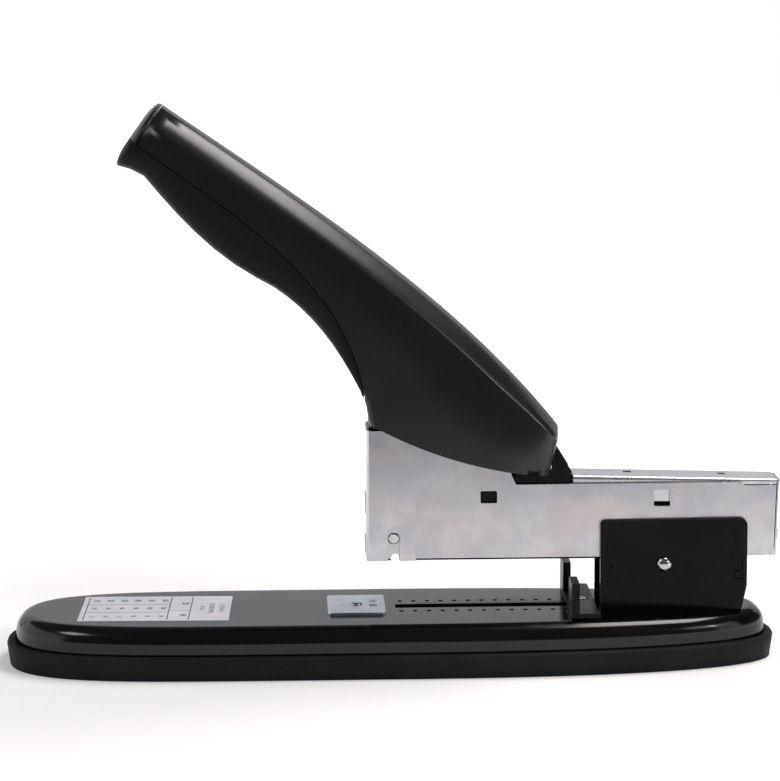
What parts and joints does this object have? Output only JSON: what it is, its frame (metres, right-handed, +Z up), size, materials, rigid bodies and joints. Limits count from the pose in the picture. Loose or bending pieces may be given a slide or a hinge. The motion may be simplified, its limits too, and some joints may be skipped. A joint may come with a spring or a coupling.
{
  "type": "stapler",
  "caption": "Long-handled desk stapler for thick paper stacks: padded base with anvil and sliding paper stop, hinged staple head, lever handle that drives the blade.",
  "frame": {"origin": "middle of the underside of the base, on the table", "axes": "+X runs from the grip end to the hinge end, +Z is up, +Y is to the far side when the hinge end is on the right"},
  "size_m": [0.2802, 0.0752, 0.2015],
  "materials": {
    "base_paint": "gloss black",
    "base_rubber": "matt black",
    "black_steel": "satin black",
    "zinc_plate": "zinc plated",
    "bright_steel": "polished",
    "spring_steel": "drawn wire",
    "handle_plastic": "satin black",
    "grip_plastic": "matt black"
  },
  "bodies": {
    "base": {"rubber_base_tray": "base_rubber", "steel_base_cover": "base_paint", "base_screw_1": "zinc_plate", "base_screw_2": "zinc_plate", "base_screw_3": "zinc_plate", "base_screw_4": "zinc_plate", "anvil_plate": "zinc_plate", "anvil_rivet": "bright_steel", "hinge_bracket": "black_steel", "bracket_rivet_1": "black_steel", "bracket_rivet_2": "black_steel", "bracket_rivet_3": "black_steel", "bracket_rivet_4": "black_steel", "head_hinge_pin": "bright_steel", "hinge_sleeve": "bright_steel", "head_return_spring": "spring_steel"},
    "stop": {"paper_stop": "black_steel", "paper_stop_screw": "bright_steel", "paper_stop_nut": "zinc_plate"},
    "head": {"left_frame_plate": "zinc_plate", "right_frame_plate": "zinc_plate", "nose_cover": "zinc_plate", "cover_stud_left": "bright_steel", "cover_stud_right": "bright_steel", "staple_rail": "black_steel", "magazine_channel": "zinc_plate", "magazine_cap": "zinc_plate", "handle_bracket": "black_steel", "handle_hinge_pin": "bright_steel", "handle_return_spring": "spring_steel"},
    "driver": {"driver_blade": "bright_steel", "driver_carrier": "black_steel", "driver_pin": "bright_steel"},
    "handle": {"handle_shell": "handle_plastic", "handle_grip": "grip_plastic", "handle_end_cap": "handle_plastic", "handle_lever": "black_steel", "grip_screw_1": "zinc_plate", "grip_screw_2": "zinc_plate"},
    "pusher": {"pusher_rod": "bright_steel", "magazine_end_plate": "zinc_plate", "feed_spring": "spring_steel"},
    "follower": {"staple_follower": "black_steel"}
  },
  "joints": [
    {"name": "head_hinge", "type": "hinge", "parent": "base", "child": "head", "pos_m": [0.0977, 0, 0.0351], "axis": [0, -1, 0], "range_deg": [0, 9.2], "stiffness_Nm_per_rad": 4, "springref_deg": -14.32},
    {"name": "handle_hinge", "type": "hinge", "parent": "head", "child": "handle", "pos_m": [0.0543, 0, 0.071], "axis": [0, -1, 0], "range_deg": [0, 14], "stiffness_Nm_per_rad": 2, "springref_deg": -20.05},
    {"name": "driver_slide", "type": "slide", "parent": "head", "child": "driver", "axis": [0, 0, -1], "range_m": [0, 0.0139]},
    {"name": "pusher_slide", "type": "slide", "parent": "head", "child": "pusher", "axis": [1, 0, 0], "range_m": [0, 0.1]},
    {"name": "follower_slide", "type": "slide", "parent": "pusher", "child": "follower", "axis": [1, 0, 0], "range_m": [0, 0.06], "stiffness_N_per_m": 25, "springref_m": -0.08, "deforming": ["feed_spring"]},
    {"name": "paper_stop_slide", "type": "slide", "parent": "base", "child": "stop", "axis": [-1, 0, 0], "range_m": [0, 0.06]}
  ],
  "couplings": [
    {"joint": "driver_slide", "follows": "handle_hinge", "m_per_rad": 0.0568}
  ]
}
